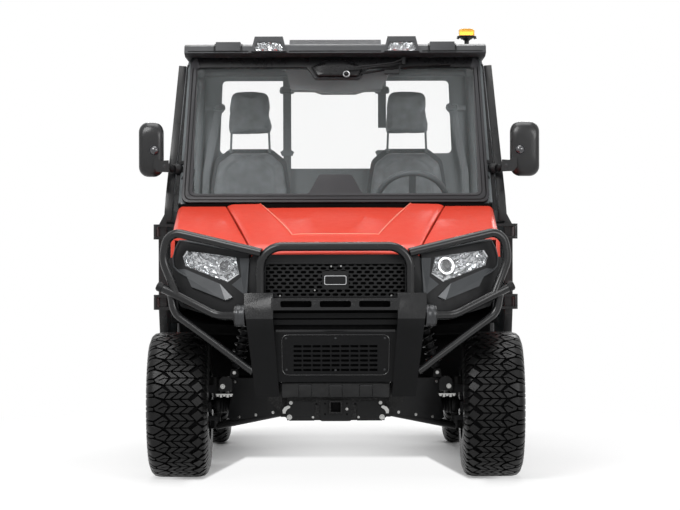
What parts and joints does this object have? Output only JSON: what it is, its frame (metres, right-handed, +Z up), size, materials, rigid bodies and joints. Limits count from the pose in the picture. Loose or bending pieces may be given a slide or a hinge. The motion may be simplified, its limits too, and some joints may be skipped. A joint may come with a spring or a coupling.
{
  "type": "side by side utv",
  "caption": "Diesel side by side utility vehicle with a closed glazed cab, bull bar, steered front wheels, hinged doors and a tipping cargo bed with a drop tailgate.",
  "frame": {"origin": "on the ground, on the centre line, half way between the bull bar's nose and the tail", "axes": "+X to the vehicle's left (the driver's side), +Y to the rear, +Z up; the nose faces -Y"},
  "size_m": [1.812, 3.02, 2.1],
  "materials": {
    "tyre_rubber": "moulded tread, matt",
    "rim_steel": "satin black paint",
    "frame_steel": "textured black powder coat",
    "bar_steel": "fine textured black powder coat",
    "guard_steel": "satin black sheet",
    "cast_parts": "as cast",
    "shaft_steel": "machined",
    "spring_steel": "gloss black coil",
    "body_red": "gloss orange red paint",
    "door_black": "fine textured black paint",
    "moulded_black": "grained moulding",
    "trim_black": "satin moulding",
    "cab_glass": "clear, faint green",
    "lamp_lens": "clear lens over chrome",
    "tail_lens": "red lens",
    "beacon_lens": "amber lens",
    "seat_cover": "black vinyl with stitched seams",
    "belt_webbing": "woven webbing",
    "bed_moulding": "textured black moulding"
  },
  "bodies": {
    "vehicle": {"front_arms": "frame_steel", "rear_arms": "frame_steel", "shocks": "spring_steel", "driveline": "cast_parts", "chassis_frame": "frame_steel", "skid_plate": "guard_steel", "engine_block": "cast_parts", "bull_bar": "bar_steel", "hood": "body_red", "front_fenders": "body_red", "front_fascia": "moulded_black", "grille_mesh": "trim_black", "headlamps": "lamp_lens", "cab_floor": "moulded_black", "cab_frame": "frame_steel", "roof": "moulded_black", "roof_lamps": "lamp_lens", "windscreen_surround": "trim_black", "windscreen_glass": "cab_glass", "wiper": "trim_black", "rear_wall": "moulded_black", "rear_glass": "cab_glass", "dashboard": "moulded_black", "seat_cushions": "seat_cover", "seat_backs": "seat_cover", "headrests": "seat_cover", "seat_belts": "belt_webbing", "overhead_console": "moulded_black", "side_mirrors": "moulded_black", "beacon": "beacon_lens", "rear_fenders": "moulded_black"},
    "steering_wheel": {"steering_wheel": "trim_black"},
    "steering_rack": {"steering_rack": "shaft_steel"},
    "knuckle_left": {"knuckle_left": "cast_parts"},
    "knuckle_right": {"knuckle_right": "cast_parts"},
    "wheel_front_left": {"tyre_front_left": "tyre_rubber", "rim_front_left": "rim_steel"},
    "wheel_front_right": {"tyre_front_right": "tyre_rubber", "rim_front_right": "rim_steel"},
    "wheel_rear_left": {"tyre_rear_left": "tyre_rubber", "rim_rear_left": "rim_steel"},
    "wheel_rear_right": {"tyre_rear_right": "tyre_rubber", "rim_rear_right": "rim_steel"},
    "door_left": {"door_panel_left": "door_black", "door_glass_left": "cab_glass"},
    "door_right": {"door_panel_right": "door_black", "door_glass_right": "cab_glass"},
    "cargo_bed": {"cargo_bed": "bed_moulding", "tail_lamps": "tail_lens"},
    "tailgate": {"tailgate": "bed_moulding"},
    "lift_barrel": {"lift_barrel": "frame_steel"},
    "lift_rod": {"lift_rod": "shaft_steel"}
  },
  "joints": [
    {"name": "steering_wheel_turn", "type": "hinge", "parent": "vehicle", "child": "steering_wheel", "pos_m": [0.36, -0.243, 1.222], "axis": [0, 0.8192, 0.5736], "range_deg": [-480, 480]},
    {"name": "steer_left", "type": "hinge", "parent": "vehicle", "child": "knuckle_left", "pos_m": [0.53, -1.04, 0.3175], "axis": [0, 0, 1], "range_deg": [-32.1, 32.1]},
    {"name": "steer_right", "type": "hinge", "parent": "vehicle", "child": "knuckle_right", "pos_m": [-0.53, -1.04, 0.3175], "axis": [0, 0, 1], "range_deg": [-32.1, 32.1]},
    {"name": "rack_slide", "type": "slide", "parent": "vehicle", "child": "steering_rack", "axis": [1, 0, 0], "range_m": [-0.0585, 0.0585]},
    {"name": "wheel_spin_front_left", "type": "hinge", "parent": "knuckle_left", "child": "wheel_front_left", "pos_m": [0.683, -1.04, 0.3175], "axis": [1, 0, 0], "continuous": true},
    {"name": "wheel_spin_front_right", "type": "hinge", "parent": "knuckle_right", "child": "wheel_front_right", "pos_m": [-0.683, -1.04, 0.3175], "axis": [1, 0, 0], "continuous": true},
    {"name": "wheel_spin_rear_left", "type": "hinge", "parent": "vehicle", "child": "wheel_rear_left", "pos_m": [0.683, 0.97, 0.3175], "axis": [1, 0, 0], "continuous": true},
    {"name": "wheel_spin_rear_right", "type": "hinge", "parent": "vehicle", "child": "wheel_rear_right", "pos_m": [-0.683, 0.97, 0.3175], "axis": [1, 0, 0], "continuous": true},
    {"name": "door_left_hinge", "type": "hinge", "parent": "vehicle", "child": "door_left", "pos_m": [0.816, -0.653, 0.92], "axis": [0, 0, -1], "range_deg": [0, 75]},
    {"name": "door_right_hinge", "type": "hinge", "parent": "vehicle", "child": "door_right", "pos_m": [-0.816, -0.653, 0.92], "axis": [0, 0, 1], "range_deg": [0, 75]},
    {"name": "bed_tilt", "type": "hinge", "parent": "vehicle", "child": "cargo_bed", "pos_m": [0, 1.37, 0.722], "axis": [-1, 0, 0], "range_deg": [0, 45]},
    {"name": "tailgate_hinge", "type": "hinge", "parent": "cargo_bed", "child": "tailgate", "pos_m": [0, 1.494, 0.814], "axis": [-1, 0, 0], "range_deg": [0, 90]},
    {"name": "lift_barrel_pivot", "type": "hinge", "parent": "vehicle", "child": "lift_barrel", "pos_m": [0, 1.1, 0.45], "axis": [-1, 0, 0], "range_deg": [0, 40]},
    {"name": "lift_rod_slide", "type": "slide", "parent": "lift_barrel", "child": "lift_rod", "axis": [0, -0.7933, 0.6089], "range_m": [0, 0.292]}
  ],
  "couplings": [
    {"joint": "steer_left", "follows": "steering_wheel_turn", "ratio": 0.066667},
    {"joint": "steer_right", "follows": "steering_wheel_turn", "ratio": 0.066667},
    {"joint": "rack_slide", "follows": "steering_wheel_turn", "m_per_rad": -0.0069333},
    {"joint": "lift_barrel_pivot", "follows": "bed_tilt", "ratio": 0.8756},
    {"joint": "lift_rod_slide", "follows": "bed_tilt", "m_per_rad": 0.365}
  ]
}
